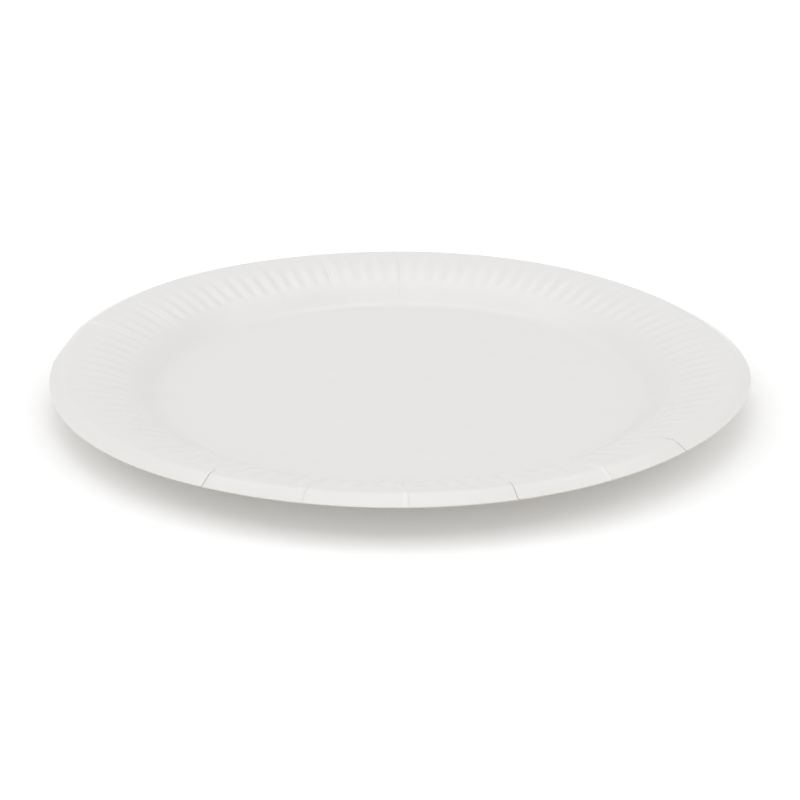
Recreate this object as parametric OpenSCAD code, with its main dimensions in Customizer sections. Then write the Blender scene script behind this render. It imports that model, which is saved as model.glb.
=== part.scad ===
// Round paper plate with a fluted rim, pressed from one disc of coated board.
// The origin is the centre of the flat base's underside, +Z is up and the front faces -Y.
// Angles run from the front (-Y) towards +X.

/* [Board] */
// Thickness of the board
board_t = 0.4; // [0.3:0.05:0.6]

/* [Base and wall] */
// Diameter of the base, measured to the corner where the wall would start
base_d = 161; // [120:1:200]
// Slope of the plain wall
wall_angle = 34; // [22:1:45]
// Radial width of the plain wall
wall_w = 9; // [7:0.5:14]
// Rounding of the bend between base and wall
bend_r = 9; // [4:0.5:12]

/* [Rim] */
// Slope of the rim where the wall ends
rim_low_angle = 26; // [18:1:30]
// Slope of the rim just inside the crest
rim_high_angle = 9; // [4:1:16]
// Radial width of the curved rim, from the wall to the crest's corner
rim_w = 21.5; // [18:0.5:30]
// Rounding of the crest
crest_r = 3; // [1.5:0.5:5]
// Slope at which the lip turns down
lip_angle = 28; // [20:1:45]
// Radial width of the lip, from the crest's corner to the cut edge
lip_w = 4; // [3:0.1:8]
// How far the cut edge strays from its plane: up and down twice on the way round
rim_twist = 1; // [0:0.1:2]

/* [Flutes] */
// Number of flutes round the rim
flute_count = 108; // [84:4:144]
// Depth of a flute, from ridge to valley
flute_depth = 0.6; // [0.2:0.05:1]
// Share of a flute's width that its ridge takes, and its valley too
flute_flat = 0.28; // [0.15:0.01:0.35]
// Radial width over which a flute grows to its full depth, above the wall
flute_rise = 3.5; // [2:0.5:5]
// Radial width over which a flute dies out, up to the crest
flute_fade = 12; // [5:0.5:14]

/* [Pleats] */
// Number of pleats that gather the rim
pleat_count = 24; // [12:1:36]
// Half width of the board that one pleat disturbs, at the cut edge
pleat_reach = 1.5; // [1:0.1:1.9]
// Half width of the overlap of the two folds, at the cut edge
pleat_lap = 0.3; // [0.2:0.05:0.45]
// Height at which a fold stands above the board, as a share of the board's thickness
pleat_rise = 0.5; // [0.2:0.05:0.8]
// Depth of the slit beside a fold, as a share of the board's thickness
pleat_slit = 0.75; // [0.4:0.05:0.9]
// Share of a pleat's size that is left where the flutes start
pleat_foot = 0.35; // [0.2:0.05:0.6]
// Share of a pleat's size that it has where the crest starts
pleat_brow = 0.8; // [0.6:0.05:1]
// How far round the pleats stand from an even spacing on average, in degrees
pleat_turn = 2; // [-3:0.1:3]
// Amplitude of the pleats' uneven spacing, once round the rim, in degrees
pleat_drift_one = 0.9; // [0:0.1:1.2]
// Amplitude of the pleats' uneven spacing, twice round the rim, in degrees
pleat_drift_two = 1.3; // [0:0.1:1.8]

/* [Hidden] */

// Angles at which the two waves of the pleats' spacing peak
drift_one_peak = 107;
drift_two_peak = -66;
// Flat steps along each curve of the profile
bend_steps = 3;
rim_steps = 3;
crest_steps = 2;
// Kinds of ring: plain, with its pleats, and with its flutes and pleats
PLAIN = 0;
PLEATED = 1;
FLUTED = 2;

pitch = 360 / flute_count;
base_r = base_d / 2;

// Profile of the top face, each point a radius, a height and a slope

// Points on the rounding of a corner, from one slope to the next
function rounding(corner, before, after, radius, steps) =
    let (
        way = sign(after - before),
        first = corner - radius * tan(abs(after - before) / 2) * [cos(before), sin(before)],
        centre = first + way * radius * [-sin(before), cos(before)]
    )
    [
        for (i = [0:steps])
            let (slope = before + (after - before) * i / steps)
            [centre.x + way * radius * sin(slope), centre.y - way * radius * cos(slope), slope]
    ];

// Slope of the curved rim at a share of its width
function rim_slope(share) = rim_low_angle + (rim_high_angle - rim_low_angle) * share;

// Height gained along the curved rim up to a share of its width, from its mean slope
function rim_climb(share) = rim_w * share * tan((rim_low_angle + rim_slope(share)) / 2);

wall_foot = [base_r, 0];
wall_top = wall_foot + wall_w * [1, tan(wall_angle)];
crest = wall_top + [rim_w, rim_climb(1)];
cut_edge = crest + lip_w * [1, -tan(lip_angle)];
plate_r = cut_edge.x;

function rim_point(width) =
    let (share = width / rim_w)
    [wall_top.x + width, wall_top.y + rim_climb(share), rim_slope(share)];

bend = rounding(wall_foot, 0, wall_angle, bend_r, bend_steps);
rim_turn = rounding(crest, rim_high_angle, -lip_angle, crest_r, crest_steps);
rim_end = rim_turn[0].x - wall_top.x;
rim_fluted = [
    for (i = [0:rim_steps - 1])
        rim_point(flute_rise + (rim_end - flute_rise) * i / rim_steps)
];

// Rings, each a profile point with its kind
rings = concat(
    [for (p = bend) [p, PLAIN]],
    [[[wall_top.x, wall_top.y, (wall_angle + rim_low_angle) / 2], PLEATED]],
    [for (p = rim_fluted) [p, FLUTED]],
    [for (p = rim_turn) [p, PLEATED]],
    [[[cut_edge.x, cut_edge.y, -lip_angle], PLEATED]]
);
last_ring = len(rings) - 1;

// Height of a flute's ridge above the board's middle, which is also its valley's depth
function flute_swell(radius) = flute_depth / 2 * lookup(radius, [
    [rim_turn[0].x - flute_fade, 1],
    [rim_turn[0].x, 0]
]);

// How far the rim is twisted up out of its plane
function twist(radius, turn) =
    rim_twist * max(0, (radius - base_r) / (plate_r - base_r)) * sin(2 * turn);

// Pleats

function pleat_angle(k) =
    let (even = 360 * k / pleat_count)
    even + pleat_turn
        + pleat_drift_one * cos(even - drift_one_peak)
        + pleat_drift_two * cos(2 * even - drift_two_peak * 2);

// The valley between flutes that each pleat runs into, which may be counted past the front
pleat_valley = [for (k = [0:pleat_count - 1]) round(pleat_angle(k) / pitch)];
pleat_place = [for (j = pleat_valley) (j + flute_count) % flute_count];
has_pleat = [for (j = [0:flute_count - 1]) len(search(j, pleat_place)) > 0];

// How far the lip is turned, valley by valley, to bring each pleat to its own angle
pleat_swing = [
    for (turn = [-1:1])
        for (k = [0:pleat_count - 1])
            [pleat_valley[k] * pitch + 360 * turn, pleat_angle(k) - pleat_valley[k] * pitch]
];

// Growth of a pleat with the radius: none at the bend, full where the lip turns down
function pleat_size(radius) = lookup(radius, [
    [wall_top.x, pleat_foot],
    [rim_turn[0].x, pleat_brow],
    [rim_turn[crest_steps].x, 1]
]);

// Share of its swing that a pleat has reached at a radius: it swings just inside the crest
function swing_share(radius) = lookup(radius, [[rim_fluted[rim_steps - 1].x, 0], [rim_turn[0].x, 1]]);

// Section of the board's top face across a pleat: rise, fold, slit and recovery.
// Each point is a distance across the pleat and a height above the board.
// The underside is the same section turned half round.
pleat_section = [
    [-pleat_reach, 0],
    [-pleat_lap / 2, pleat_rise * board_t],
    [pleat_lap, pleat_rise * board_t / 2],
    [pleat_lap, -pleat_slit * board_t],
    [pleat_reach, 0]
];

function turned(section) = [for (i = [len(section) - 1:-1:0]) -section[i]];

// Points of one valley, and of the ridge that follows it, as [angle, lift]

function valley(p, kind, j, under) =
    let (
        floor_lift = kind == FLUTED ? -flute_swell(p.x) : 0,
        size = pleat_size(p.x),
        section = under ? turned(pleat_section) : pleat_section
    )
    kind != PLAIN && has_pleat[j]
        ? [for (s = section) [j * pitch + s.x * size / p.x * 180 / PI, floor_lift + s.y * size]]
    : kind == FLUTED
        ? [for (side = [-1, 1]) [(j + side * flute_flat / 2) * pitch, floor_lift]]
    : [[j * pitch, 0]];

function ridge(p, kind, j) =
    kind == FLUTED
        ? [for (side = [-1, 1]) [(j + (1 + side * flute_flat) / 2) * pitch, flute_swell(p.x)]]
    : [];

// A point on the top face, or on the underside one board's thickness below it
function place(p, angle, lift, under) =
    let (
        rise = lift - (under ? board_t : 0),
        radius = p.x - rise * sin(p.z),
        turn = angle + swing_share(p.x) * lookup(angle, pleat_swing)
    )
    [radius * sin(turn), -radius * cos(turn), board_t + p.y + rise * cos(p.z) + twist(p.x, turn)];

function ring_points(ring, under) = [
    for (j = [0:flute_count - 1])
        for (a = concat(valley(ring[0], ring[1], j, under), ridge(ring[0], ring[1], j)))
            place(ring[0], a.x, a.y, under)
];

// Point numbers

function valley_size(kind, j) =
    kind != PLAIN && has_pleat[j] ? len(pleat_section) : kind == FLUTED ? 2 : 1;

function ridge_size(kind) = kind == FLUTED ? 2 : 0;

// Number of the first point of each flute within a ring of a kind, then the ring's count
starts = [
    for (kind = [PLAIN, PLEATED, FLUTED])
        [
            for (
                j = 0, at = 0;
                j <= flute_count;
                at = at + (j < flute_count ? valley_size(kind, j) + ridge_size(kind) : 0), j = j + 1
            )
                at
        ]
];

function ring_count(i) = starts[rings[i][1]][flute_count];

ring_starts = [
    for (i = 0, at = 0; i <= last_ring + 1; at = at + (i <= last_ring ? ring_count(i) : 0), i = i + 1)
        at
];
face_count = ring_starts[last_ring + 1];

function point_number(i, j, step, under) =
    (under ? face_count : 0) + ring_starts[i]
        + (j < flute_count ? starts[rings[i][1]][j] : 0) + step;

function valley_row(i, j, under) = [
    for (step = [0:valley_size(rings[i][1], j) - 1])
        point_number(i, j, step, under)
];

// From a valley's last point over the ridge to the next valley's first point
function ridge_row(i, j, under) =
    let (first = valley_size(rings[i][1], j) - 1)
    concat(
        [for (step = [first:first + ridge_size(rings[i][1])]) point_number(i, j, step, under)],
        [point_number(i, j + 1, 0, under)]
    );

// Triangles that join two rows of points, each row running the same way round
function strip(a, b, i = 0, k = 0) =
    let (more_a = i + 1 < len(a), more_b = k + 1 < len(b))
    !more_a && !more_b ? []
    : more_a && (!more_b || (i + 1) * (len(b) - 1) <= (k + 1) * (len(a) - 1))
        ? concat([[a[i], a[i + 1], b[k]]], strip(a, b, i + 1, k))
    : concat([[a[i], b[k + 1], b[k]]], strip(a, b, i, k + 1));

function flipped(triangles) = [for (t = triangles) [t[0], t[2], t[1]]];

function band(i, under) = [
    for (j = [0:flute_count - 1])
        each concat(
            strip(valley_row(i, j, under), valley_row(i + 1, j, under)),
            strip(ridge_row(i, j, under), ridge_row(i + 1, j, under))
        )
];

// The board's cut edge joins the last ring of each face
cut_band = [
    for (j = [0:flute_count - 1])
        each concat(
            strip(valley_row(last_ring, j, false), valley_row(last_ring, j, true)),
            strip(ridge_row(last_ring, j, false), ridge_row(last_ring, j, true))
        )
];

module plate() {
    color("white")
        polyhedron(
            points = [
                for (under = [false, true])
                    for (ring = rings)
                        each ring_points(ring, under)
            ],
            faces = concat(
                [[for (n = [ring_count(0) - 1:-1:0]) n]],
                [[for (n = [0:ring_count(0) - 1]) face_count + n]],
                [for (i = [0:last_ring - 1]) each band(i, false)],
                [for (i = [0:last_ring - 1]) each flipped(band(i, true))],
                cut_band
            ),
            convexity = 6
        );
}

plate();
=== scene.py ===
import math

import bpy
import numpy as np
from bpy.props import FloatProperty, FloatVectorProperty, IntProperty, PointerProperty
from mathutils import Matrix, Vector


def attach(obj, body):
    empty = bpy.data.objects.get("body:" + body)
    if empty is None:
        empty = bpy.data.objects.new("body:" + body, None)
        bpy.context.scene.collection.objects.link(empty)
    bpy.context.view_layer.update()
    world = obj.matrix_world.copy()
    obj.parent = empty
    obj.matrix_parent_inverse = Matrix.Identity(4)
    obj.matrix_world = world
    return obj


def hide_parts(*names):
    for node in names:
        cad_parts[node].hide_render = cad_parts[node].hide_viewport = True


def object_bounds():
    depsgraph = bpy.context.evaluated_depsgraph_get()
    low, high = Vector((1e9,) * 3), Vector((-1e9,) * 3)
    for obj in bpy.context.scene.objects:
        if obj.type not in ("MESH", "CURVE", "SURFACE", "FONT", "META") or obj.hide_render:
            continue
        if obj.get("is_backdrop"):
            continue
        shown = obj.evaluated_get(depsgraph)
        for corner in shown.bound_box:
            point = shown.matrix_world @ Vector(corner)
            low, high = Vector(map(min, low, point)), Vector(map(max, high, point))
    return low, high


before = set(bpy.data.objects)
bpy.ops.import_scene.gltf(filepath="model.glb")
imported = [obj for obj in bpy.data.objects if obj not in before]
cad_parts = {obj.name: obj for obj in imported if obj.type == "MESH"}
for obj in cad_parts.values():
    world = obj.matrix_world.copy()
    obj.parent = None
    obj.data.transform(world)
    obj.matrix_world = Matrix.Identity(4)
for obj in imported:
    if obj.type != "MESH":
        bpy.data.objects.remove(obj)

bl_info = {
    "name": "Paper plate",
    "version": (1, 0, 0),
    "blender": (4, 5, 0),
    "location": "3D View > Sidebar > Paper plate",
    "description": "Round plate pressed from coated board, with a fluted and pleated rim",
    "category": "Add Mesh",
}

MM = 0.001
CAD_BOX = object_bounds()
NODE = "plate"
BODY = "root"

# How finely the mesh follows the form round the plate
LINES_PER_FLUTE = 12
LINES_PER_FLUTE_ON_WALL = 4
LINES_ON_BASE = 96
# How finely it follows the section: rings as shares of a stretch, or their number
BASE_RINGS = (0.2, 0.4, 0.6, 0.8)
RISE_RINGS = (0.2, 0.4, 0.6, 0.8, 1.0)
LIP_RINGS = (0.5, 1.0)
BEND_STEPS, FULL_STEPS, FADE_STEPS, CREST_STEPS = 8, 3, 9, 6
# Share of a flute's width, each side of its valley, that is left to a pleat's own lines
PLEAT_ROOM = 0.25
# Edges are shaded sharp from this angle on
SHARP_FROM = math.radians(38)
# How far the piece's box may differ from the frame's
BOX_MARGIN = 1.2 * MM

# The most that cloudiness and the painted shade and highlights of the flutes' valleys and the
# pleats lighten or darken the coated face, as a share
TONE_RANGE = 0.1
# How much cloudiness and grain vary the coated face's tone and its roughness
CLOUDY_TONE, GRAINY_TONE = 0.03, 0.015
CLOUDY_ROUGHNESS, GRAINY_ROUGHNESS = 0.08, 0.10
# Share of the coated face's relief that is orange peel; the rest is grain
PEEL_SHARE = 0.6
# Share of the bare face's tone that is clouds and of the cut edge's that is layers, not grain
CLOUD_SHARE, LAYER_SHARE = 0.5, 0.6
# How often the cut edge's layers repeat along the board and across it, against plain noise
LAYER_SQUEEZE = (0.35, 0.35, 9.0)
# How much grain varies the roughness of the bare face and of the cut edge
BARE_ROUGHNESS, CUT_ROUGHNESS = 0.12, 0.1
# How far a fleck's edge fades, against its radius, and how sharply flecks are picked by chance
FLECK_FADE, FLECK_PICK = 1.3, 0.01
# Materials of the plate's mesh, in the order of its slots
COATED, BARE, CUT = range(3)

# Edges of the floor's rim
FLOOR_EDGES = 64
# What the camera sees the floor glow, near the plate and far off, and where the glow grows, in mm
GLOW_NEAR, GLOW_MORE, GLOW_FROM, GLOW_TO = 0.16, 0.5, 150.0, 900.0
# Width of the camera's frame and its nearest view, in millimetres
FRAME_W, NEAREST = 36, 10

# Softboxes: power in watts, then width, depth and place in millimetres
SOFTBOXES = {
    "top_light": (2.5, (1100, 900), (-100, 150, 2200)),
    "back_light": (5.8, (2600, 800), (0, 900, 2050)),
    "front_light": (3.9, (2600, 800), (0, -900, 2050)),
    "left_light": (6.0, (1400, 900), (-1750, 100, 1300)),
    "right_light": (5.5, (1400, 900), (1750, 100, 1300)),
    "key_light": (2.0, (900, 900), (-1130, -1640, 950)),
}

# The pleats are numbered from the front to the right
# Pleats that stand open as a slit, and how far
OPEN_PLEATS = {1: 0.7, 3: 0.6, 22: 1.0}
# Pleats whose folds lap the other way
TURNED_PLEATS = (1, 3)
# Pleats whose fold gets a painted highlight, and pleats whose step gets painted shade, and how much
FOLD_HIGHLIGHTS = {0: 0.6, 2: 1.0, 5: 0.6, 6: 0.7, 9: 0.4, 13: 0.4, 15: 0.6, 16: 0.9, 17: 0.9,
                19: 0.4, 22: 0.8}
STEP_SHADES = {0: 0.6, 2: 0.5, 12: 0.5, 14: 1.0, 23: 1.0}
# Pleats that are pressed almost flat, and the share of the fold's height that they keep
FAINT_PLEATS, FAINT_SHARE = (4, 7, 8, 10, 11, 18, 19, 20, 21), 0.35
# Pleats that stay as high on the lip, and the share of its height that any other keeps there
LIP_PLEATS, LIP_SHARE = (0, 1, 2, 3, 17, 22, 23), 0.35
# Pleats that run on down the plain wall
LONG_PLEATS = (9, 12, 13, 14, 15)
# Pleats from which the rim runs straight to the next pleat, and how far in its middle lies, in mm
STRAIGHT_FROM = {17: 0.65}
# Bounds between which chance sets the other pleats' gape, painted fold highlight and step shade,
# and fold heights
CLOSED_GAPES, STRAY_LIGHT_AND_SHADE, FOLD_HEIGHTS = (0.0, 0.05), (0.0, 0.1), (0.6, 1.1)
# How soon a slit has its full width and depth, against its gape
SLIT_OPENS = 3
# Pleats that stray from the smooth spacing, in degrees
STRAYS = {1: 0.6, 2: -0.3, 3: -0.5, 15: -0.9, 16: 0.7, 19: -0.7, 20: 0.6, 22: -0.4}


def length(name, description, default, **more):
    return FloatProperty(name=name, description=description, default=default * MM, unit="LENGTH",
                         subtype="DISTANCE", precision=5, **more)


def angle(name, description, default):
    return FloatProperty(name=name, description=description, default=math.radians(default),
                         unit="ROTATION", subtype="ANGLE")


def share(name, description, default):
    return FloatProperty(name=name, description=description, default=default, min=0, max=1,
                         subtype="FACTOR")


def strength(name, description, default):
    return FloatProperty(name=name, description=description, default=default, min=0)


def colour(name, description, default):
    return FloatVectorProperty(name=name, description=description, default=default, min=0, max=1,
                               size=3, subtype="COLOR")


class PlateForm(bpy.types.PropertyGroup):
    """Sizes of the plate's section."""

    board: length("Board", "Thickness of the board", 0.4)
    base_d: length("Base", "Diameter of the base at the corner with the wall", 161)
    wall_angle: angle("Wall angle", "Slope of the plain wall", 34)
    wall_w: length("Wall", "Radial width of the plain wall", 9)
    bend_r: length("Bend", "Rounding between base and wall", 9)
    rim_low_angle: angle("Rim, low", "Slope of the rim where the wall ends", 26)
    rim_high_angle: angle("Rim, high", "Slope of the rim inside the crest", 9)
    rim_w: length("Rim", "Radial width of the curved rim", 21.2)
    crest_r: length("Crest", "Rounding of the crest", 3)
    lip_angle: angle("Lip angle", "Slope at which the lip turns down", 28)
    lip_w: length("Lip", "Radial width of the lip", 4.3)
    twist: length("Twist", "How far the cut edge leaves its plane, twice up and twice down", 0.99)
    twist_turn: angle("Twist's turn", "Where the twist starts from", 5.9)
    waver: length("Waver", "How far the cut edge wavers, four times up and four times down", 0.41)
    waver_turn: angle("Waver's turn", "Where the waver starts from", 47.6)


class FluteForm(bpy.types.PropertyGroup):
    """Sizes of the flutes."""

    count: IntProperty(name="Flutes", description="Number of flutes round the rim", default=108)
    depth: length("Depth", "Depth from ridge to valley", 0.3)
    rise: length("Rise", "Radial width over which a flute grows, above the wall", 3.5)
    fade: length("Fade", "Radial width over which a flute dies out", 12)
    unevenness: share("Unevenness", "How much the flutes' depth varies", 0.15)
    foot_stray: length("Foot stray", "How far the flutes' feet stray in or out", 0.3)
    seed: IntProperty(name="Seed", description="Seed of all that varies on the plate", default=7)


class PleatForm(bpy.types.PropertyGroup):
    """Sizes of the pleats."""

    count: IntProperty(name="Pleats", description="Number of pleats", default=24)
    reach: length("Reach", "Half width of the board that a pleat disturbs", 1.5)
    fold: length("Fold", "Height of a fold above the board", 0.16)
    drop: length("Drop", "How far the board beside a fold lies down", 0.06)
    slit_w: length("Slit width", "Width at the cut edge of a slit that stands open", 0.15)
    slit_depth: length("Slit depth", "Depth of a slit that stands open", 0.32)
    slit_run: length("Slit run", "How far an open slit runs in from the cut edge", 11)
    step_w: length("Step width", "Width of the step beside a fold that lies closed", 0.5)
    lap: length("Lap", "Half width of the overlap of the two folds", 0.3)
    wall_run: length("Wall run", "How far a pleat runs on down the plain wall", 2.0)
    swing_run: length("Swing run", "Radial width over which the pleats turn from their valleys", 6)
    foot: share("Foot", "Share of a pleat's size that is left where the flutes start", 0.35)
    brow: share("Brow", "Share of a pleat's size where the crest starts", 0.8)
    turn: angle("Turn", "How far round the pleats stand from an even spacing", 2.0)
    drift_one: angle("Drift, one", "Uneven spacing, once round the rim", 0.9)
    peak_one: angle("Peak, one", "Where the first drift peaks", 107)
    drift_two: angle("Drift, two", "Uneven spacing, twice round the rim", 1.3)
    peak_two: angle("Peak, two", "Where the second drift peaks", -66)


class BoardFinish(bpy.types.PropertyGroup):
    """Colours and surface of the board."""

    coat: colour("Coat", "Colour of the coated face", (0.77, 0.762, 0.748))
    bare: colour("Bare board", "Colour of the bare face", (0.76, 0.725, 0.665))
    cut: colour("Cut edge", "Colour of the cut edge", (0.84, 0.785, 0.705))
    # Painted shade: the dark brown deep in a slit stands in for the shade there
    slit: colour("Slit", "Colour deep in a slit", (0.26, 0.17, 0.11))
    # Painted shade: how much darker the flutes' valleys are coloured, standing in for their shade
    pressed: share("Pressed", "How much darker the board is in the flutes' valleys", 0.015)
    # Painted highlight on the pleats' folds and painted shade on their steps
    pleat_light_and_shade: share("Creased", "How much the pleats' folds and steps differ in tone", 0.08)
    speck: colour("Speck", "Colour of a dark fibre in the board", (0.30, 0.27, 0.24))
    gloss: share("Face roughness", "Roughness of the coated face under its coat", 0.36)
    coat_weight: share("Coat weight", "How much of the coated face the clear coat covers", 0.8)
    coat_gloss: share("Coat roughness", "Roughness of the clear coat", 0.25)
    matt: share("Bare roughness", "Roughness of bare board", 0.85)


class StudioForm(bpy.types.PropertyGroup):
    """The camera, the floor and the light."""

    lens: FloatProperty(name="Lens", description="Focal length", default=72, unit="CAMERA")
    elevation: angle("Elevation", "Camera's height above the cut edge's plane", 20.775)
    distance: length("Distance", "From the camera to the middle of the cut edge's plane", 535.5)
    aim: length("Aim", "How far in front of the middle the camera looks", 39.15)
    floor_r: length("Floor", "Radius of the floor", 6000)
    floor: colour("Floor colour", "Colour of the floor", (0.9, 0.9, 0.9))
    sky_above: strength("Sky above", "Strength of the surrounding light overhead", 0.64)
    sky_around: strength("Sky around", "Strength of the surrounding light at the horizon", 1.05)
    mirrored: strength("Mirrored", "Strength of the surrounding light that gloss mirrors", 0.75)
    level: share("Level", "Power of the softboxes, as a share of their full power", 1.0)


class Wire:
    """An output socket in an expression on shader values."""

    def __init__(self, socket):
        self.socket = socket
        self.tree = socket.id_data

    def math(self, operation, *values):
        sockets = dict(enumerate(values))
        return add_node(self.tree, "ShaderNodeMath", {"operation": operation}, sockets)

    def __add__(self, other):
        return self.math("ADD", self, other)

    def __sub__(self, other):
        return self.math("SUBTRACT", self, other)

    def __mul__(self, other):
        return self.math("MULTIPLY", self, other)

    def __rsub__(self, other):
        return self.math("SUBTRACT", other, self)

    __radd__ = __add__
    __rmul__ = __mul__

    def above(self, low, high):
        """0 up to low, 1 from high on, and smooth between."""
        sockets = {"Value": self, "From Min": low, "From Max": high}
        settings = {"interpolation_type": "SMOOTHSTEP"}
        return add_node(self.tree, "ShaderNodeMapRange", settings, sockets)

    def blend(self, first, second):
        """The first colour where this is 0, the second where it is 1."""
        sockets = {"Factor_Float": self, "A_Color": first, "B_Color": second}
        settings = {"data_type": "RGBA"}
        return add_node(self.tree, "ShaderNodeMix", settings, sockets, "Result_Color")


def add_node(tree, kind, settings=None, sockets=None, output=None):
    """Adds a node: its settings first, then the values or links of its sockets."""
    made = tree.nodes.new(kind)
    for name, value in (settings or {}).items():
        setattr(made, name, value)
    for key, value in (sockets or {}).items():
        found = [s for s in made.inputs if s.identifier == key]
        socket = made.inputs[key] if isinstance(key, int) else found[0]
        if isinstance(value, Wire):
            tree.links.new(value.socket, socket)
        elif socket.type == "RGBA":
            socket.default_value = (*value, 1)
        else:
            socket.default_value = value
    if not made.outputs:
        return None
    found = [s for s in made.outputs if s.identifier == output]
    return Wire(found[0] if found else made.outputs[0])


def new_material(name):
    material = bpy.data.materials.new(name)
    material.use_nodes = True
    material.node_tree.nodes.clear()
    return material, material.node_tree


def place_in_mm(tree):
    """Where a point lies on the plate, in millimetres."""
    place = add_node(tree, "ShaderNodeTexCoord", output="Object")
    settings = {"operation": "SCALE"}
    return add_node(tree, "ShaderNodeVectorMath", settings, {"Vector": place, "Scale": 1 / MM})


def clouds(place, size, detail=2.0, roughness=0.5):
    """Soft noise with features of a size in millimetres, from 0 to 1 about 0.5."""
    sockets = {"Vector": place, "Scale": 1 / size, "Detail": detail, "Roughness": roughness}
    return add_node(place.tree, "ShaderNodeTexNoise", {}, sockets)


def fleck_mask(place, spacing, size, kept):
    """1 in small flecks, scattered at a spacing in millimetres, of which a share is kept."""
    warped = clouds(place, size * 2)
    flat = {0: place, 1: (1, 1, 0)}
    place = add_node(place.tree, "ShaderNodeVectorMath", {"operation": "MULTIPLY"}, flat)
    sockets = {"Vector": place, "Scale": 1 / spacing, "Randomness": 1.0}
    near = add_node(place.tree, "ShaderNodeTexVoronoi", {}, sockets, "Distance")
    tint = add_node(place.tree, "ShaderNodeTexVoronoi", {}, sockets, "Color")
    chance = add_node(place.tree, "ShaderNodeSeparateColor", {}, {"Color": tint}, "Red")
    edge = near + warped * (size / spacing)
    inside = 1 - edge.above(size / spacing, FLECK_FADE * size / spacing)
    return inside * (1 - chance.above(kept, kept + FLECK_PICK))


def shades(mask, colour, first, second):
    """A colour times the first share where a mask is 0 and times the second where it is 1."""
    return mask.blend([c * first for c in colour], [c * second for c in colour])


def attribute(tree, name):
    return add_node(tree, "ShaderNodeAttribute", {"attribute_name": name}, {}, "Fac")


def finish_board(tree, skin, roughness, height, strength, distance, **constants):
    """Joins a board's colour, roughness and relief to its surface."""
    relief = {"Strength": strength, "Distance": distance, "Height": height}
    normal = add_node(tree, "ShaderNodeBump", {}, relief)
    sockets = {"Base Color": skin, "Roughness": roughness, "Normal": normal, **constants}
    surface = add_node(tree, "ShaderNodeBsdfPrincipled", {}, sockets)
    add_node(tree, "ShaderNodeOutputMaterial", {}, {"Surface": surface})


def coated_board(finish):
    """White coated face, with the board's cloudiness, faint orange peel, a few dark fibres, painted
    shade in the valleys, slits and pleat steps, and painted highlights on pleat folds.
    """
    material, tree = new_material("coated_board")
    place = place_in_mm(tree)
    cloudy = clouds(place, size=9.0, detail=3.0)
    grain = clouds(place, size=0.7, detail=3.0)
    peel = clouds(place, size=1.6, detail=2.0)
    uneven = (cloudy - 0.5) * CLOUDY_TONE + (grain - 0.5) * GRAINY_TONE
    # Painted shade in the flutes' valleys, and painted highlights on the pleats' folds with painted
    # shade on their steps
    pressed = attribute(tree, "valley") * finish.pressed
    pleat_light_and_shade = attribute(tree, "fold_light_and_shade") * finish.pleat_light_and_shade
    mask = 0.5 + (uneven + (pressed + pleat_light_and_shade)) * (0.5 / TONE_RANGE)
    skin = shades(mask, finish.coat, first=1 + TONE_RANGE, second=1 - TONE_RANGE)
    skin = fleck_mask(place, spacing=26.0, size=0.22, kept=0.12).blend(skin, finish.speck)
    # Painted shade: dark brown deep in the open slits
    skin = attribute(tree, "slit").blend(skin, finish.slit)
    rougher = (grain - 0.5) * GRAINY_ROUGHNESS
    roughness = finish.gloss + rougher + (cloudy - 0.5) * CLOUDY_ROUGHNESS
    height = peel * PEEL_SHARE + grain * (1 - PEEL_SHARE)
    coat = {"Coat Weight": finish.coat_weight, "Coat Roughness": finish.coat_gloss}
    finish_board(tree, skin, roughness, height, strength=0.25, distance=0.02 * MM, **coat)
    return material


def bare_board(finish):
    """Cream uncoated face, matt, with fibres lying across each other."""
    material, tree = new_material("bare_board")
    place = place_in_mm(tree)
    cloudy = clouds(place, size=5.0, detail=4.0, roughness=0.6)
    grain = clouds(place, size=0.45, detail=4.0, roughness=0.65)
    mask = (cloudy * CLOUD_SHARE + grain * (1 - CLOUD_SHARE)).above(low=0.32, high=0.68)
    skin = shades(mask, finish.bare, first=0.95, second=1.03)
    skin = fleck_mask(place, spacing=9.0, size=0.2, kept=0.2).blend(skin, finish.speck)
    # Painted shade: dark brown deep in the open slits
    skin = attribute(tree, "slit").blend(skin, finish.slit)
    roughness = finish.matt + (grain - 0.5) * BARE_ROUGHNESS
    finish_board(tree, skin, roughness, grain, strength=0.5, distance=0.05 * MM)
    return material


def cut_board(finish):
    """The board's cut edge, with its layers of fibre."""
    material, tree = new_material("cut_board")
    place = place_in_mm(tree)
    squeezed = {0: place, 1: LAYER_SQUEEZE}
    drawn = add_node(tree, "ShaderNodeVectorMath", {"operation": "MULTIPLY"}, squeezed)
    layers = clouds(drawn, size=1.0, detail=3.0, roughness=0.6)
    grain = clouds(place, size=0.25, detail=3.0, roughness=0.6)
    mask = (layers * LAYER_SHARE + grain * (1 - LAYER_SHARE)).above(low=0.3, high=0.7)
    skin = shades(mask, finish.cut, first=0.88, second=1.05)
    # Painted shade: dark brown deep in the open slits
    skin = attribute(tree, "slit").blend(skin, finish.slit)
    roughness = finish.matt + (grain - 0.5) * CUT_ROUGHNESS
    finish_board(tree, skin, roughness, layers, strength=0.5, distance=0.04 * MM)
    return material


def smooth(values):
    """0 at 0, 1 at 1, level at both ends."""
    t = np.clip(values, 0, 1)
    return t * t * (3 - 2 * t)


def rounding(corner, before, after, radius, steps):
    """Points on the rounding of a corner, each a radius, a height and a slope."""
    way = math.copysign(1, after - before)
    back = radius * math.tan(abs(after - before) / 2)
    first = corner - back * np.array([math.cos(before), math.sin(before)])
    centre = first + way * radius * np.array([-math.sin(before), math.cos(before)])
    slopes = np.linspace(before, after, steps + 1)
    radii = centre[0] + way * radius * np.sin(slopes)
    heights = centre[1] - way * radius * np.cos(slopes)
    return np.stack([radii, heights, slopes], 1)


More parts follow.
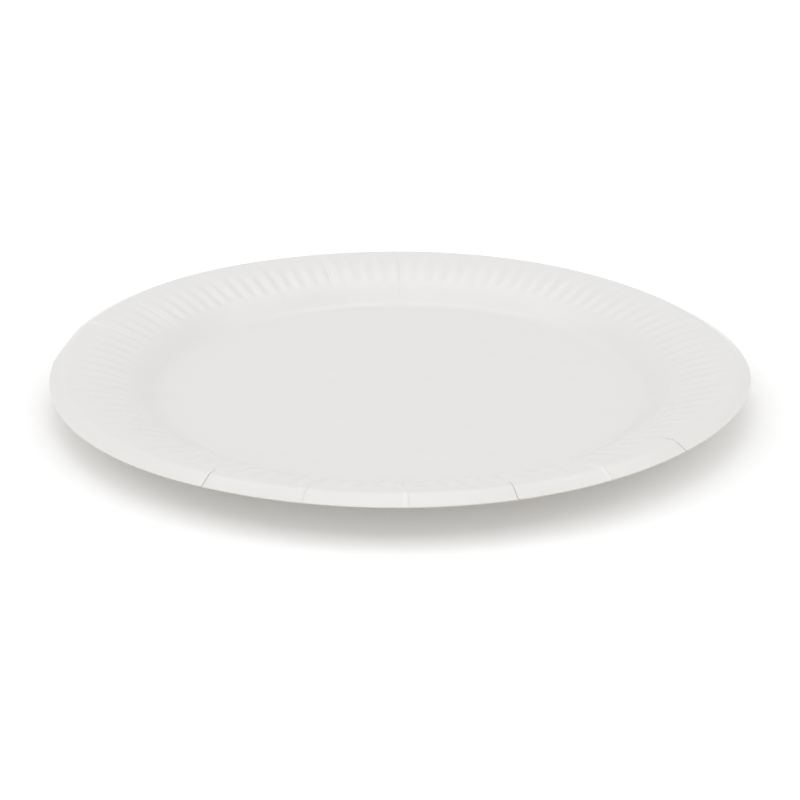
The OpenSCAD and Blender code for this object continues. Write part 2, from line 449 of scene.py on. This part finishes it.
class Section:
    """The plate's section from the middle to the cut edge, along the top face."""

    def __init__(self, form, flutes):
        self.form = form
        self.base_r = form.base_d / 2
        foot = np.array([self.base_r, 0.0])
        self.wall_top = foot + form.wall_w * np.array([1, math.tan(form.wall_angle)])
        crest = self.wall_top + np.array([form.rim_w, self.climb(1.0)])
        self.edge = crest + form.lip_w * np.array([1, -math.tan(form.lip_angle)])
        self.bend = rounding(foot, 0, form.wall_angle, form.bend_r, BEND_STEPS)
        slopes = form.rim_high_angle, -form.lip_angle
        self.turn = rounding(crest, *slopes, form.crest_r, CREST_STEPS)
        self.rim_end = self.turn[0][0]
        self.flutes_full = self.rim_end - flutes.fade

    def slope(self, part):
        form = self.form
        return form.rim_low_angle + (form.rim_high_angle - form.rim_low_angle) * part

    def climb(self, part):
        form = self.form
        return form.rim_w * part * math.tan((form.rim_low_angle + self.slope(part)) / 2)

    def rim_station(self, radius):
        part = (radius - self.wall_top[0]) / self.form.rim_w
        return radius, self.wall_top[1] + self.climb(part), self.slope(part)

    def base_stations(self):
        """Rings on the flat base, few and wide apart."""
        inner = self.bend[0][0]
        return [(inner * part, 0.0, 0.0) for part in BASE_RINGS]

    def wall_stations(self):
        """Rings on the bend and the plain wall."""
        last = self.bend[-1]
        middle = (last[:2] + self.wall_top) / 2
        return [tuple(p) for p in self.bend] + [(*middle, self.form.wall_angle)]

    def rim_stations(self, rise):
        """Rings on the fluted rim, the crest and the lip."""
        start = self.wall_top[0]
        slope = (self.form.wall_angle + self.form.rim_low_angle) / 2
        radii = [start + rise * part for part in RISE_RINGS]
        full = np.linspace(start + rise, self.flutes_full, FULL_STEPS + 1)[1:]
        fading = np.linspace(self.flutes_full, self.rim_end, FADE_STEPS + 1)[1:-1]
        rim = [self.rim_station(r) for r in (*radii, *full, *fading)]
        top = self.turn[-1][:2]
        lip = [(*(top + (self.edge - top) * part), -self.form.lip_angle) for part in LIP_RINGS]
        return [(*self.wall_top, slope)] + rim + [tuple(p) for p in self.turn] + lip


# A pleat's lines from side to side. Each has the side of the slit that it lies on, how far out
# from the slit it lies, its shares of the fold's height and of the drop, and how far it follows
# the slit down.
# The fold's share also sets a painted highlight, the drop's share painted shade on the step, and
# the last column painted shade deep in an open slit.
LEFT, RIGHT = -1, 1
PLEAT_LINES = np.array([
    (LEFT, 1.0, 0.0, 0.0, 0),
    (LEFT, 0.78, 0.10, 0.0, 0),
    (LEFT, 0.58, 0.40, 0.0, 0),
    (LEFT, 0.40, 0.76, 0.0, 0),
    (LEFT, 0.26, 0.96, 0.0, 0),
    (LEFT, 0.14, 1.0, 0.0, 0),
    (LEFT, 0.05, 0.88, 0.0, 0),
    (LEFT, 0.0, 0.70, 0.0, 0),
    (LEFT, 0.0, 0.45, 0.3, 1),
    (RIGHT, 0.0, 0.2, 0.7, 1),
    (RIGHT, 0.0, 0.0, 1.0, 0),
    (RIGHT, 0.08, 0.0, 0.92, 0),
    (RIGHT, 0.22, 0.0, 0.72, 0),
    (RIGHT, 0.42, 0.0, 0.42, 0),
    (RIGHT, 0.68, 0.0, 0.13, 0),
    (RIGHT, 1.0, 0.0, 0.0, 0),
])
# How far into a slit's width its two deep lines lie, closed and open
DEEP_CLOSED, DEEP_OPEN = 0.33, 0.04


class Lines:
    """The lines of points that run across the rings, a set for each flute and for each pleat."""

    def __init__(self, flutes, valleys, per_flute):
        owner = {int(valley) % flutes.count: k for k, valley in enumerate(valleys)}
        rows = []
        for j in range(flutes.count):
            if j in owner:
                rows += [(j, owner[j], step) for step in range(len(PLEAT_LINES))]
            low = PLEAT_ROOM if j in owner else 0
            high = 1 - PLEAT_ROOM if (j + 1) % flutes.count in owner else 1
            parts = [step / per_flute for step in range(per_flute)]
            rows += [(j + part, -1, 0) for part in parts if low <= part <= high]
        self.place, self.pleat, self.step = np.array(rows).T
        self.pleat, self.step = self.pleat.astype(int), self.step.astype(int)
        self.pleated = self.pleat >= 0
        self.count = len(rows)


class Shell:
    """Points and faces, gathered ring by ring."""

    def __init__(self):
        self.points, self.faces, self.slots = [], [], []
        # Masks of painted light: shade deep in slits, shade in the flutes' valleys, and highlights
        # on the pleats' folds with shade on their steps
        self.painted_light_masks = {"slit": [], "valley": [], "fold_light_and_shade": []}
        self.total = 0

    def ring(self, points, angles, slit=0.0, valley=0.0, fold_light_and_shade=0.0):
        """Adds a ring and returns its points' numbers with their angles."""
        numbers = np.arange(self.total, self.total + len(points))
        self.points.append(points)
        for name, values in (("slit", slit), ("valley", valley), ("fold_light_and_shade", fold_light_and_shade)):
            self.painted_light_masks[name].append(np.broadcast_to(values, len(points)))
        self.total += len(points)
        return numbers, angles

    def face(self, corners, slot, flip):
        self.faces.append(corners[::-1] if flip else corners)
        self.slots.append(slot)

    def band(self, inner, outer, slot, flip=False):
        """Faces between two rings: four-sided where their lines match, three-sided elsewhere."""
        (a, a_angles), (b, b_angles) = inner, outer
        if len(a) == len(b):
            for corners in np.stack([a, b, np.roll(b, -1), np.roll(a, -1)], 1).tolist():
                self.face(corners, slot, flip)
            return
        turn = 2 * math.pi
        a_next = np.append(a_angles[1:], a_angles[0] + turn)
        b_next = np.append(b_angles[1:], b_angles[0] + turn)
        a, b = a.tolist(), b.tolist()
        i = k = 0
        while i < len(a) or k < len(b):
            if k == len(b) or (i < len(a) and a_next[i] < b_next[k]):
                corners = [a[i % len(a)], b[k % len(b)], a[(i + 1) % len(a)]]
                i += 1
            else:
                corners = [a[i % len(a)], b[k], b[(k + 1) % len(b)]]
                k += 1
            self.face(corners, slot, flip)

    def fan(self, ring, height, slot, flip=False):
        """Faces from a ring to a point in its middle."""
        middle = self.total
        self.ring(np.array([(0.0, 0.0, height)]), np.zeros(1))
        numbers = ring[0].tolist()
        for first, second in zip(numbers, numbers[1:] + numbers[:1]):
            self.face([middle, first, second], slot, flip)

    def mesh(self, name, materials):
        mesh = bpy.data.meshes.new(name)
        mesh.from_pydata(np.concatenate(self.points).tolist(), [], self.faces)
        for material in materials:
            mesh.materials.append(material)
        mesh.polygons.foreach_set("material_index", self.slots)
        for tone, values in self.painted_light_masks.items():
            made = mesh.attributes.new(tone, "FLOAT", "POINT")
            made.data.foreach_set("value", np.concatenate(values))
        mesh.shade_smooth()
        mesh.set_sharp_from_angle(angle=SHARP_FROM)
        if mesh.validate():
            raise RuntimeError(f"the mesh of {name} had faults")
        return mesh


def by_number(values, known):
    """Values of which some, named by their number, are set."""
    values[list(known)] = list(known.values())
    return values


class Plate:
    """The plate's faces, worked out from its sizes."""

    def __init__(self, form, flutes, pleats):
        self.form, self.flutes, self.pleats = form, flutes, pleats
        self.section = Section(form, flutes)
        self.pitch = 2 * math.pi / flutes.count
        chance = np.random.default_rng(flutes.seed)
        self.pleat_angles = self.space_pleats()
        self.valleys = np.round(self.pleat_angles / self.pitch).astype(int)
        self.swings = self.pleat_angles - self.valleys * self.pitch
        self.open = by_number(chance.uniform(*CLOSED_GAPES, pleats.count), OPEN_PLEATS)
        self.stand = chance.uniform(*FOLD_HEIGHTS, pleats.count)
        self.stand[list(FAINT_PLEATS)] *= FAINT_SHARE
        # Painted highlight on each pleat's fold and painted shade on its step, and how strong
        self.bright = by_number(chance.uniform(*STRAY_LIGHT_AND_SHADE, pleats.count), FOLD_HIGHLIGHTS)
        self.dark = by_number(chance.uniform(*STRAY_LIGHT_AND_SHADE, pleats.count), STEP_SHADES)
        self.depths = 1 + flutes.unevenness * chance.uniform(-1, 1, 2 * flutes.count)
        self.feet = flutes.foot_stray * chance.uniform(-1, 1, flutes.count)

    def space_pleats(self):
        pleats = self.pleats
        even = 2 * math.pi * np.arange(pleats.count) / pleats.count
        stray = np.radians(by_number(np.zeros(pleats.count), STRAYS))
        return (even + pleats.turn + stray + pleats.drift_one * np.cos(even - pleats.peak_one)
                + pleats.drift_two * np.cos(2 * (even - pleats.peak_two)))

    def swing(self, angles, radius):
        """How far lines turn to bring the pleats from their valleys to their own angles."""
        section = self.section
        grown = smooth((radius - section.rim_end) / self.pleats.swing_run + 1)
        places = self.valleys * self.pitch
        return grown * np.interp(angles, places, self.swings, period=2 * math.pi)

    def warp(self, angles, radius):
        """How far the rim leaves its plane."""
        form, start, end = self.form, self.section.base_r, self.section.edge[0]
        grown = max(0.0, (radius - start) / (end - start))
        twist = form.twist * np.sin(2 * (angles + form.twist_turn))
        return grown * (twist + form.waver * np.sin(4 * (angles + form.waver_turn)))

    def straightening(self, angles, radius):
        """How far in the rim lies where it runs straight from one pleat to the next."""
        start, end = self.section.flutes_full, self.section.edge[0]
        grown = smooth((radius - start) / (end - start))
        inwards = np.zeros(len(angles))
        for number, middle in STRAIGHT_FROM.items():
            first, last = self.pleat_angles[number:number + 2]
            along = np.clip((angles - first) / (last - first), 0, 1)
            inwards += 4 * middle * MM * along * (1 - along)
        return grown * inwards

    def wave(self, place, radius):
        """How high the board lies at a place, counted in flutes: 1 on a ridge, -1 in a valley."""
        section, flutes = self.section, self.flutes
        foot = np.interp(place, np.arange(flutes.count), self.feet, period=flutes.count)
        grown = smooth((radius - section.wall_top[0] - foot) / flutes.rise)
        left = 1 - smooth((radius - section.flutes_full) / flutes.fade)
        halves = np.arange(2 * flutes.count)
        uneven = np.interp(2 * place, halves, self.depths, period=2 * flutes.count)
        return -np.cos(2 * math.pi * place) * uneven * grown * left

    def pleat_spread(self, radius):
        """How wide a pleat is at a radius, as a share of its width at the cut edge."""
        section, pleats = self.section, self.pleats
        marks = [section.wall_top[0], section.rim_end, section.turn[len(section.turn) // 2][0]]
        return float(np.interp(radius, marks, [pleats.foot, pleats.brow, 1.0]))

    def pleat_depth(self, radius):
        """How much of its height each pleat has kept at a radius, down the wall or on the lip."""
        section, pleats = self.section, self.pleats
        run = np.full(pleats.count, pleats.wall_run)
        run[list(LONG_PLEATS)] = section.wall_top[0] - section.bend[len(section.bend) // 2][0]
        pressed = np.full(pleats.count, LIP_SHARE)
        pressed[list(LIP_PLEATS)] = 1.0
        on_lip = smooth((radius - section.rim_end) / pleats.swing_run + 1)
        return smooth(1 + (radius - section.wall_top[0]) / run) * (1 - on_lip * (1 - pressed))

    def across_pleats(self, lines, radius, under):
        """For each line: how far round it lies from its pleat, its lift, its share of painted slit
        shade and its painted fold highlight or step shade.
        """
        pleats = self.pleats
        turned = np.isin(lines.pleat, TURNED_PLEATS) != under
        step = np.where(turned, len(PLEAT_LINES) - 1 - lines.step, lines.step)
        side, part, fold, drop, deep = PLEAT_LINES[step].T
        spread = self.pleat_spread(radius)
        left_over = self.pleat_depth(radius)[lines.pleat]
        size = spread * left_over
        closing = smooth((self.section.edge[0] - radius) / pleats.slit_run)
        gape = self.open[lines.pleat] * (1 - closing)
        opened = smooth(gape * SLIT_OPENS)
        width = pleats.step_w * spread * (1 - opened) + pleats.slit_w * gape * opened
        inset = deep * (DEEP_CLOSED + (DEEP_OPEN - DEEP_CLOSED) * opened)
        lap, reach = pleats.lap * spread, pleats.reach * spread
        left = lap - part * (reach + lap) + inset * width
        right = lap + width + part * (reach - lap - width) - inset * width
        offset = np.where(side == LEFT, left, right)
        lift = (pleats.fold * fold * self.stand[lines.pleat] - pleats.drop * drop) * size
        lift = lift - pleats.slit_depth * deep * opened
        # Painted light: the fold is lightened as a highlight and the step darkened as shade
        fold_light_and_shade = (drop * self.dark[lines.pleat] - fold * self.bright[lines.pleat]) * left_over
        offset = np.where(turned, -offset, offset)
        found = (offset, -lift if under else lift, deep * gape, fold_light_and_shade)
        return [np.where(lines.pleated, v, 0.0) for v in found]

    def ring(self, shell, lines, station, under):
        """Adds one ring of the top face or of the underside."""
        radius, height, slope = station
        offset, lift, slit, fold_light_and_shade = self.across_pleats(lines, radius, under)
        shift = offset / radius
        wave = self.wave(lines.place + shift / self.pitch, radius)
        rise = self.flutes.depth / 2 * wave + lift
        if under:
            rise = rise - self.form.board
        angles = lines.place * self.pitch + shift
        angles = angles + self.swing(angles, radius)
        out = radius - rise * math.sin(slope) - self.straightening(angles, radius)
        up = self.form.board + height + rise * math.cos(slope) + self.warp(angles, radius)
        points = np.stack([out * np.sin(angles), -out * np.cos(angles), up], 1)
        # The slit mask, the flutes' valleys (-wave) and the pleats' folds and steps feed painted
        # shade and highlights
        return shell.ring(points, angles, slit, -wave, fold_light_and_shade)

    def base_ring(self, shell, station, under):
        """Adds one ring of the flat base, which has no pleats."""
        angles = np.arange(LINES_ON_BASE) * 2 * math.pi / LINES_ON_BASE
        up = np.full(LINES_ON_BASE, 0.0 if under else self.form.board)
        points = np.stack([station[0] * np.sin(angles), -station[0] * np.cos(angles), up], 1)
        return shell.ring(points, angles)

    def face(self, shell, slot, under):
        """Builds the top face or the underside and returns its last ring."""
        section = self.section
        on_wall = Lines(self.flutes, self.valleys, LINES_PER_FLUTE_ON_WALL)
        on_rim = Lines(self.flutes, self.valleys, LINES_PER_FLUTE)
        rim_stations = section.rim_stations(self.flutes.rise)
        rings = [self.base_ring(shell, s, under) for s in section.base_stations()]
        rings += [self.ring(shell, on_wall, s, under) for s in section.wall_stations()]
        rings += [self.ring(shell, on_rim, s, under) for s in rim_stations]
        shell.fan(rings[0], 0.0 if under else self.form.board, slot, under)
        for inner, outer in zip(rings, rings[1:]):
            shell.band(inner, outer, slot, under)
        return rings[-1]

    def build(self, name, materials):
        shell = Shell()
        top = self.face(shell, COATED, False)
        below = self.face(shell, BARE, True)
        shell.band(top, below, CUT)
        piece = bpy.data.objects.new(name, shell.mesh(name, materials))
        bpy.context.scene.collection.objects.link(piece)
        return piece


class PAPERPLATE_OT_plate(bpy.types.Operator):
    """Makes the plate: base, wall, fluted rim, pleats and lip in one sheet of board"""

    bl_idname = "paperplate.plate"
    bl_label = "Plate"

    def execute(self, context):
        scene = context.scene
        finish = scene.board_finish
        materials = [coated_board(finish), bare_board(finish), cut_board(finish)]
        plate = Plate(scene.plate_form, scene.flute_form, scene.pleat_form)
        piece = plate.build("pressed_plate", materials)
        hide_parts(NODE)
        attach(piece, BODY)
        bpy.context.view_layer.update()
        sides = zip(np.ravel(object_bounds()), np.ravel(CAD_BOX))
        stray = max(abs(mine - cad) for mine, cad in sides)
        if stray > BOX_MARGIN:
            raise RuntimeError(f"the plate leaves its frame by {stray / MM:.2f} mm")
        return {"FINISHED"}


def softbox(name, place, sizes, watts):
    """An oblong lamp that faces the plate."""
    lamp = bpy.data.lights.new(name, "AREA")
    lamp.shape = "RECTANGLE"
    lamp.size, lamp.size_y = [size * MM for size in sizes]
    lamp.energy = watts
    made = bpy.data.objects.new(name, lamp)
    made.location = Vector(place) * MM
    made.rotation_euler = (-Vector(place)).to_track_quat("-Z", "Y").to_euler()
    bpy.context.scene.collection.objects.link(made)


def on_rays(tree, name):
    """1 on rays of one kind, 0 on the rest."""
    return add_node(tree, "ShaderNodeLightPath", output=f"Is {name} Ray")


def make_sky(above, around, mirrored):
    """Surrounding light of one strength overhead and another at the horizon, seen as white."""
    world = bpy.data.worlds.new("studio")
    world.use_nodes = True
    tree = world.node_tree
    tree.nodes.clear()
    way = add_node(tree, "ShaderNodeTexCoord", output="Generated")
    low = 1 - add_node(tree, "ShaderNodeSeparateXYZ", {}, {"Vector": way}, "Z")
    strength = low * low * (around - above) + above
    white = (1, 1, 1)
    light = add_node(tree, "ShaderNodeBackground", {}, {"Color": white, "Strength": strength})
    for name, seen in (("Glossy", mirrored), ("Transmission", 1.0), ("Camera", 1.0)):
        plain = add_node(tree, "ShaderNodeBackground", {}, {"Color": white, "Strength": seen})
        sockets = {0: on_rays(tree, name), 1: light, 2: plain}
        light = add_node(tree, "ShaderNodeMixShader", {}, sockets)
    add_node(tree, "ShaderNodeOutputWorld", {}, {"Surface": light})
    bpy.context.scene.world = world


def make_floor(studio):
    """A pale floor, seen as white where no shadow lies on it."""
    bpy.ops.mesh.primitive_circle_add(vertices=FLOOR_EDGES, radius=studio.floor_r,
                                      fill_type="NGON")
    floor = bpy.context.object
    floor.name = "floor"
    material, tree = new_material("pale_floor")
    place = place_in_mm(tree)
    away = add_node(tree, "ShaderNodeVectorMath", {"operation": "LENGTH"}, {0: place}, "Value")
    lit = add_node(tree, "ShaderNodeBsdfDiffuse", {}, {"Color": tuple(studio.floor)})
    lift = away.above(GLOW_FROM, GLOW_TO) * GLOW_MORE + GLOW_NEAR
    glow = add_node(tree, "ShaderNodeEmission", {}, {"Strength": lift * on_rays(tree, "Camera")})
    both = add_node(tree, "ShaderNodeAddShader", {}, {0: lit, 1: glow})
    add_node(tree, "ShaderNodeOutputMaterial", {}, {"Surface": both})
    floor.data.materials.append(material)
    floor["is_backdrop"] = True


class PAPERPLATE_OT_studio(bpy.types.Operator):
    """Makes the floor, the light and the camera"""

    bl_idname = "paperplate.studio"
    bl_label = "Studio"

    def execute(self, context):
        scene = context.scene
        studio = scene.studio_form
        make_floor(studio)
        make_sky(studio.sky_above, studio.sky_around, studio.mirrored)
        for name, (watts, sizes, place) in SOFTBOXES.items():
            softbox(name, place, sizes, watts * studio.level)
        section = Section(scene.plate_form, scene.flute_form)
        middle = Vector((0, 0, section.edge[1] + scene.plate_form.board))
        up = studio.elevation
        stand = middle + studio.distance * Vector((0, -math.cos(up), math.sin(up)))
        aim = middle + Vector((0, -studio.aim, 0))
        camera = bpy.data.objects.new("camera", bpy.data.cameras.new("camera"))
        camera.data.lens = studio.lens
        camera.data.sensor_width = FRAME_W
        camera.data.clip_start = NEAREST * MM
        camera.location = stand
        camera.rotation_euler = (aim - stand).to_track_quat("-Z", "Y").to_euler()
        scene.collection.objects.link(camera)
        scene.camera = camera
        scene.view_settings.view_transform = "Standard"
        return {"FINISHED"}


OPERATORS = (PAPERPLATE_OT_plate, PAPERPLATE_OT_studio)
GROUPS = {
    "plate_form": PlateForm,
    "flute_form": FluteForm,
    "pleat_form": PleatForm,
    "board_finish": BoardFinish,
    "studio_form": StudioForm,
}


class PAPERPLATE_PT_sidebar(bpy.types.Panel):
    """Sizes, colours and steps of the paper plate"""

    bl_label = "Paper plate"
    bl_idname = "PAPERPLATE_PT_sidebar"
    bl_space_type = "VIEW_3D"
    bl_region_type = "UI"
    bl_category = "Paper plate"

    def draw(self, context):
        for name, group in GROUPS.items():
            box = self.layout.box()
            box.label(text=group.__doc__)
            for key in group.__annotations__:
                box.prop(getattr(context.scene, name), key)
        for operator in OPERATORS:
            self.layout.operator(operator.bl_idname)


def register():
    for made in (*GROUPS.values(), *OPERATORS, PAPERPLATE_PT_sidebar):
        bpy.utils.register_class(made)
    for name, group in GROUPS.items():
        setattr(bpy.types.Scene, name, PointerProperty(type=group))


def unregister():
    for name in GROUPS:
        delattr(bpy.types.Scene, name)
    for made in (PAPERPLATE_PT_sidebar, *OPERATORS, *GROUPS.values()):
        bpy.utils.unregister_class(made)


def main():
    register()
    bpy.ops.paperplate.plate()
    bpy.ops.paperplate.studio()


if __name__ == "__main__":
    main()
